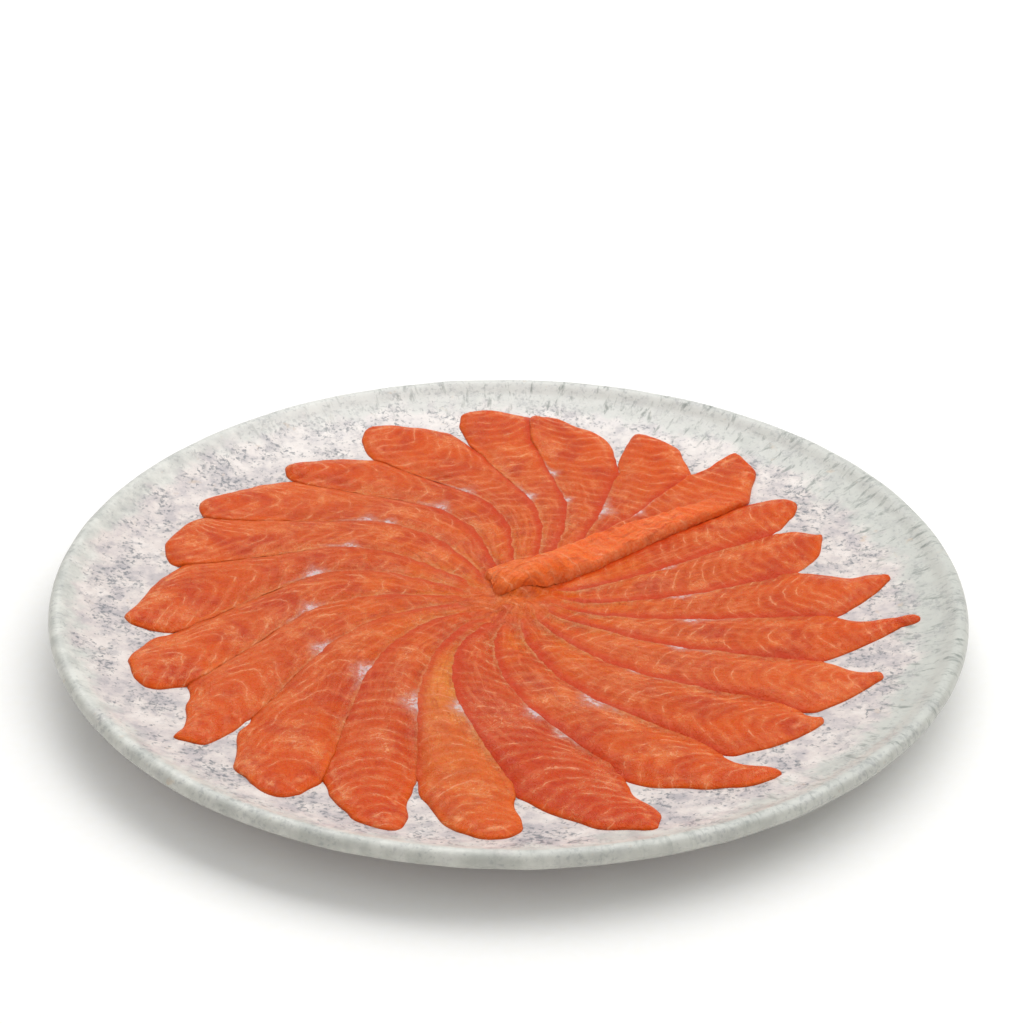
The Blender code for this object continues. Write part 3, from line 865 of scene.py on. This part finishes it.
def raw_trout():
    """Raw trout flesh, sliced with a wet knife: moist muscle that light sinks into, crossed by thin pale
    fat lines, with a thin clear gloss of its own juice."""
    material, tree, shader = new_material("raw trout flesh, knife cut")
    place = add(tree, "TexCoord", give="Object")
    names = ("edge", "flake", "flake_rate", "silver", "tone", "amber", "crevice", "along", "aside", "ribbon")
    marks = {name: add(tree, "Attribute", attribute_name=name, give="Fac") for name in names}
    in_plan = add(tree, "VectorMath", {0: place, 1: (1, 1, 0)}, operation="MULTIPLY")
    reach = add(tree, "VectorMath", {0: in_plan}, operation="LENGTH")
    east = add(tree, "SeparateXYZ", {0: place}, give="X")
    clouds = clouded(tree, place, {
        "deep": (13, 0.42, 0.68, 3),
        "pale": (9, 0.48, 0.72, 4),
        "grain": (1.0, 0.3, 0.72, 4),
        "wander": (7, 0.2, 0.8, 4),
        "broken": (5, 0.46, 0.66, 3),
        "uneven": (8, 0.35, 0.65, 3),
        "ragged": (1.6, 0.3, 0.7, 5),
    })

    # Fat lines, about 0.4 mm wide and broken here and there, at each whole number of the flake mark.
    flake = add(tree, "Math", {0: clouds["wander"], 1: 0.4, 2: marks["flake"]}, operation="MULTIPLY_ADD")
    flake = add(tree, "Math", {0: flake, 1: 0.5}, operation="PINGPONG")
    gap = add(tree, "Math", {0: flake, 1: marks["flake_rate"]}, operation="DIVIDE")

    # The net of fine fibres in the cut. Its threads are drawn about 0.4 mm wide, coarser than they
    # are, so that they show, and their pale colour also paints small glints on them.
    links = {"Vector": place, "Scale": 1 / (1.7 * MM), "Detail": 0, "Distortion": 1.0, "Offset": 1, "Gain": 1}
    net = add(tree, "TexNoise", links, noise_type="RIDGED_MULTIFRACTAL")

    # Streaks of paler and darker muscle, about 1.5 mm wide, drawn out along the slice.
    drawn = add(tree, "CombineXYZ", {0: marks["along"], 1: marks["aside"]})
    drawn = add(tree, "VectorMath", {0: drawn, 1: (1 / 11, 1 / 1.6, 0)}, operation="MULTIPLY")
    streak = add(tree, "TexNoise", {"Vector": drawn, "Scale": 1, "Detail": 3, "Distortion": 0.7})

    # How strongly the silvery skin side shows, ragged at its border.
    ragged = add(tree, "Math", {0: clouds["ragged"], 1: 0.9, 2: 0.45}, operation="MULTIPLY_ADD")
    silver = add(tree, "Math", {0: marks["silver"], 1: ragged}, operation="MULTIPLY")

    # Marks that fade smoothly: what each follows, where it starts and ends, and its values there.
    fades = {
        name: add(tree, "MapRange", dict(enumerate(grade)), interpolation_type="SMOOTHSTEP")
        for name, grade in {
            "at tip": (reach, 80 * MM, 112 * MM, 0, 1),
            "inner": (reach, 60 * MM, 95 * MM, 1, 0),
            "red": (marks["tone"], -1, 0, 1, 0),
            "light": (marks["tone"], 0, 1, 0, 1),
            "streak": (streak, 0.5, 0.7, 0, 1),
            "dark streak": (streak, 0.3, 0.5, 1, 0),
            "thread": (net, 0.72, 0.99, 0, 1),
            "pit": (net, 0.3, 0.6, 1, 0),
            "line": (gap, 0.06, 0.34, 1, 0),
            "beside line": (gap, 0.2, 1.6, 1, 0),
            "side": (marks["edge"], 0.6, 3.0, 1, 0),
            "past side": (marks["edge"], 2.2, 3.2, 0, 1),
            "before top": (marks["edge"], 3.2, 5.4, 1, 0),
            "outline": (marks["edge"], 0.1, 0.8, 1, 0),
            "border": (marks["edge"], 0.4, 1.6, 1, 0),
            "off middle": (reach, 5 * MM, 24 * MM, 0.15, 1),
            "off left": (east, -60 * MM, -10 * MM, 0.3, 1),
            "off heap": (reach, 6 * MM, 26 * MM, 0.1, 0.6),
            "thick": (marks["edge"], 0, 2.5, 0.5, 1),
            "open": (marks["crevice"], 0, 1, 1, 0.25),
            "bloom": (silver, 0.03, 0.55, 0, 1),
            "skin": (silver, 0.5, 1.25, 0, 1),
            "roughness": (clouds["grain"], 0, 1, 0.3, 0.48),
        }.items()
    }

    # Salmon orange in the middle, rosier halfway, and deep clear orange at the tips.
    share = add(tree, "Math", {0: reach, 1: 130 * MM}, operation="DIVIDE")
    stops = ((0.0, "#e0680c"), (0.25, "#da610a"), (0.5, "#ca500a"), (0.72, "#d65504"), (0.95, "#d64d00"))
    colour = add(tree, "ValToRGB", {0: share}, stops=stops)
    colour = washed(tree, colour, [
        # Slow mottling, each slice's own tone, the yellow flesh of one, and the bright ribbon of another,
        # partly its own orange and partly painted light over the shade on its face.
        ("#b63006", 0.75, clouds["deep"]),
        ("#e67e3e", 0.7, clouds["pale"]),
        ("#bc2c06", 0.8, fades["red"]),
        ("#e6743a", 0.8, fades["light"]),
        ("#e69236", 0.5, marks["amber"]),
        ("#eca856", 0.35, marks["amber"], clouds["pale"]),
        ("#ff762c", 0.65, marks["ribbon"]),
        # Muscle: streaks, pale threads that double as painted glints, the darker pits between them, fat
        # lines.
        ("#ea8c5c", 0.42, fades["streak"], fades["inner"]),
        ("#b03c0c", 0.5, fades["dark streak"], fades["inner"]),
        ("#c03c08", 0.3, clouds["grain"]),
        ("#c24408", 0.2, fades["pit"]),
        ("#f6ac80", 0.5, fades["thread"], clouds["pale"]),
        ("#ec9258", 0.16, fades["beside line"]),
        ("#f6b084", 0.48, fades["line"], clouds["broken"]),
        # Round the tip, the cut side is painted orange for light shining through it, a crease further in is a
        # painted highlight, and a dark outline at the very edge is painted shade.
        ("#e66000", 0.6, fades["side"], fades["at tip"], clouds["uneven"]),
        ("#f3a06a", 0.5, fades["past side"], fades["before top"], fades["at tip"], clouds["broken"]),
        ("#a83a04", 0.5, fades["outline"], fades["at tip"], clouds["uneven"]),
        # The feathered edge is pale further in, partly its own paler flesh and partly a painted highlight
        # along it.
        ("#f4a070", 0.5, fades["border"], fades["inner"], clouds["ragged"], fades["off middle"]),
        # Painted shade, dark orange, along the edge of whatever lies over the slice, fainter in the middle
        # and at the left.
        ("#c63400", 0.8, marks["crevice"], fades["off middle"], fades["off left"]),
        # The silvery skin side, with a dusky rose bloom round it.
        ("#c8806c", 0.6, fades["bloom"]),
        ("#dfc0c0", 0.85, fades["skin"]),
    ])
    tree.links.new(colour, shader.inputs["Base Color"])
    tree.links.new(fades["roughness"], shader.inputs["Roughness"])

    # Light sinks in less where slices are heaped, at their thin edges and under other edges.
    sinking = add(tree, "Math", {0: fades["thick"], 1: fades["open"]}, operation="MULTIPLY")
    sinking = add(tree, "Math", {0: sinking, 1: fades["off heap"]}, operation="MULTIPLY")
    tree.links.new(sinking, shader.inputs["Subsurface Weight"])

    # Threads stand up a little from the cut, and fat lines less, so that the gloss breaks on them.
    ridge = add(tree, "Math", {0: fades["line"], 1: 0.3, 2: fades["thread"]}, operation="MULTIPLY_ADD")
    ridge = add(tree, "Math", {0: clouds["grain"], 1: 0.4, 2: ridge}, operation="MULTIPLY_ADD")
    bump = add(tree, "Bump", {"Strength": 0.6, "Distance": 0.25 * MM, "Height": ridge})
    tree.links.new(bump, shader.inputs["Normal"])

    # The juice bends light hardly more than water does. Red light sinks furthest into the muscle.
    for name, value in {
        "IOR": 1.36,
        "Specular IOR Level": 0.22,
        "Subsurface Radius": (1.0, 0.3, 0.12),
        "Subsurface Scale": 1.8 * MM,
        "Coat Weight": 0.06,
        "Coat Roughness": 0.12,
    }.items():
        shader.inputs[name].default_value = value
    return material


def speckled_stoneware():
    """Fired stoneware under a milky lilac-grey glaze that breaks to green-grey on the rim, with blue-grey
    specks of iron melted into soft smudges: smooth, hard and evenly glossy."""
    material, tree, shader = new_material("glazed stoneware, speckled")
    place = add(tree, "TexCoord", give="Object")
    east = add(tree, "SeparateXYZ", {0: place}, give="X")
    north = add(tree, "SeparateXYZ", {0: place}, give="Y")
    in_plan = add(tree, "VectorMath", {0: place, 1: (1, 1, 0)}, operation="MULTIPLY")
    reach = add(tree, "VectorMath", {0: in_plan}, operation="LENGTH")
    bearing = add(tree, "Math", {0: north, 1: east}, operation="ARCTAN2")

    # How far to the right, and a little to the back, a place lies: 1 at the rim, -1 at its far side.
    far_right = add(tree, "VectorMath", {0: in_plan, 1: (6.4, 3.1, 0)}, operation="DOT_PRODUCT")
    clouds = clouded(tree, place, {
        "body": (8, 0.26, 0.74, 5),
        "border": (14, 0.2, 0.8, 3),
        "crowd": (13, 0.36, 0.64, 4),
        "smudge": (3.6, 0.0, 1.0, 4),
        "stain": (6, 0.64, 0.78, 3),
        "ripple": (5, 0.2, 0.8, 3),
    })

    # The glaze breaks over about 10 mm at the rim, further in at the far right.
    smooth = {"interpolation_type": "SMOOTHSTEP"}
    right = add(tree, "MapRange", {0: far_right, 1: -0.7, 2: 0.8}, **smooth)
    right_runs = add(tree, "MapRange", {0: far_right, 1: -0.7, 2: 0.8, 3: 0.2}, **smooth)
    border = add(tree, "Math", {0: clouds["border"], 1: 12 * MM, 2: reach}, operation="MULTIPLY_ADD")
    border = add(tree, "Math", {0: right, 1: 8 * MM, 2: border}, operation="MULTIPLY_ADD")

    # Soft grey smudges of about 4 mm and small dark specks, both crowded by clouds of about 13 mm.
    smudge = add(tree, "Math", {0: clouds["crowd"], 1: 0.2, 2: clouds["smudge"]}, operation="MULTIPLY_ADD")
    links = {"Vector": place, "Scale": 1 / (1.4 * MM), "Detail": 2, "Roughness": 0.6, "Distortion": 0.4}
    speck = add(tree, "TexNoise", links)
    speck = add(tree, "Math", {0: clouds["crowd"], 1: 0.15, 2: speck}, operation="MULTIPLY_ADD")

    # Grey runs down the inside of the rim, where it is 138 mm from the middle: 2.6 mm wide and drawn
    # out radially over 7 mm.
    turned = add(tree, "Math", {0: bearing, 1: 138 / 2.6}, operation="MULTIPLY")
    drawn = add(tree, "Math", {0: reach, 1: 7 * MM}, operation="DIVIDE")
    run = add(tree, "CombineXYZ", {0: turned, 1: drawn})
    links = {"Vector": run, "Scale": 1, "Detail": 4, "Roughness": 0.65, "Distortion": 0.4}
    run = add(tree, "TexNoise", links)

    # Marks that fade smoothly: what each follows, where it starts and ends, and its values there.
    fades = {
        name: add(tree, "MapRange", dict(enumerate(grade)), **smooth)
        for name, grade in {
            "rim": (border, 134 * MM, 142 * MM, 0, 1),
            "inside rim": (border, 134 * MM, 142 * MM, 1, 0.35),
            "band": (border, 128 * MM, 137 * MM, 0, 1),
            "back": (north, 50 * MM, 130 * MM, 0, 1),
            "outside": (reach, 138.2 * MM, 139.6 * MM, 0, 1),
            "smudge": (smudge, 0.5, 0.92, 0, 1),
            "speck": (speck, 0.6, 0.8, 0, 1),
            "run": (run, 0.52, 0.72, 0, 1),
            "roughness": (clouds["ripple"], 0, 1, 0.3, 0.42),
        }.items()
    }
    stops = ((0.1, "#beb6b6"), (0.36, "#d1c7c4"), (0.62, "#dbd1cb"), (0.9, "#e5dcd6"))
    colour = add(tree, "ValToRGB", {0: clouds["body"]}, stops=stops)
    stops = ((0.1, "#bcc0b8"), (0.5, "#cdd0c8"), (0.9, "#dcded6"))
    green = add(tree, "ValToRGB", {0: clouds["body"]}, stops=stops)
    colour = washed(tree, colour, [
        (green, 0.85, fades["rim"]),
        # Painted light whitens the back of the plate, and painted shade darkens the outer wall to a browner
        # grey.
        ("#f4f2ee", 0.42, fades["back"]),
        ("#9c9484", 0.25, fades["outside"]),
        # At the far right the rim is greyer.
        ("#a4aaa2", 0.5, fades["rim"], right, clouds["body"]),
        # Iron shows as soft smudges, as specks, and as runs down the inside of the rim.
        ("#9c999e", 0.52, fades["smudge"], fades["inside rim"]),
        ("#646a70", 0.78, fades["speck"], fades["inside rim"]),
        ("#808680", 0.9, fades["run"], fades["band"], right_runs),
        # A few stains where iron has bled tan through the glaze.
        ("#c6ad92", 0.5, clouds["stain"]),
    ])
    tree.links.new(colour, shader.inputs["Base Color"])
    tree.links.new(fades["roughness"], shader.inputs["Roughness"])
    height = add(tree, "Math", {0: fades["smudge"], 1: -0.3, 2: clouds["ripple"]}, operation="MULTIPLY_ADD")
    bump = add(tree, "Bump", {"Strength": 0.25, "Distance": 0.25 * MM, "Height": height})
    tree.links.new(bump, shader.inputs["Normal"])
    shader.inputs["IOR"].default_value = 1.5
    return material


# ---------------------------------------------------------------- floor, light and camera


def make_floor():
    """A sheet of uncoated white card, matt with a faint tooth, and wide enough to fill the view."""
    material, tree, shader = new_material("white card")
    place = add(tree, "TexCoord", give="Object")
    tooth = add(tree, "TexNoise", {"Vector": place, "Scale": 1 / (3 * MM), "Detail": 2})
    colour = washed(tree, "#fbfaf6", [("#fdfdfd", tooth)])
    tree.links.new(colour, shader.inputs["Base Color"])
    shader.inputs["Roughness"].default_value = 0.95
    shader.inputs["Specular IOR Level"].default_value = 0.1
    mesh = bpy.data.meshes.new("floor")
    half = FLOOR_HALF_WIDTH
    corners = [(-half, -half, 0), (half, -half, 0), (half, half, 0), (-half, half, 0)]
    mesh.from_pydata(corners, [], [(0, 1, 2, 3)])
    mesh.materials.append(material)
    floor = bpy.data.objects.new("floor", mesh)
    floor.location.z = cad_box[0].z - FLOOR_GAP
    bpy.context.scene.collection.objects.link(floor)


def make_light():
    """Even white light all round, and one long soft lamp high behind the plate."""
    world = bpy.data.worlds.new("studio")
    world.use_nodes = True
    sky = world.node_tree.nodes["Background"]
    sky.inputs["Color"].default_value = (1, 1, 1, 1)
    sky.inputs["Strength"].default_value = SKY_STRENGTH
    bpy.context.scene.world = world
    lamp = bpy.data.lights.new("long soft box", "AREA")
    lamp.shape = "RECTANGLE"
    lamp.size = LAMP_LENGTH
    lamp.size_y = LAMP_DEPTH
    lamp.energy = LAMP_POWER
    holder = bpy.data.objects.new("long soft box", lamp)
    holder.location = LAMP_PLACE
    holder.rotation_euler = (-holder.location).to_track_quat("-Z", "Y").to_euler()
    bpy.context.scene.collection.objects.link(holder)


def make_camera():
    """A long lens, looking down on the plate from its front."""
    elevation = math.radians(CAMERA_ELEVATION)
    back = Vector((0, -math.cos(elevation), math.sin(elevation))) * CAMERA_DISTANCE
    place = back + Vector((0, 0, CAMERA_AIM[2]))
    forward = Vector(CAMERA_AIM) - place
    turn = forward.to_track_quat("-Z", "Y").to_matrix() @ Matrix.Rotation(math.radians(CAMERA_ROLL), 3, "Z")
    camera = bpy.data.cameras.new("camera")
    camera.lens = CAMERA_LENS
    camera.sensor_width = CAMERA_FILM
    camera.clip_start = 0.01
    holder = bpy.data.objects.new("camera", camera)
    holder.matrix_world = Matrix.Translation(place) @ turn.to_4x4()
    bpy.context.scene.collection.objects.link(holder)
    bpy.context.scene.camera = holder


make_camera()
make_light()
make_floor()
bpy.context.scene.view_settings.view_transform = "Standard"
plate_curve = fine_section()
make_plate(plate_curve, speckled_stoneware())
lay_slices(plate_curve, raw_trout())
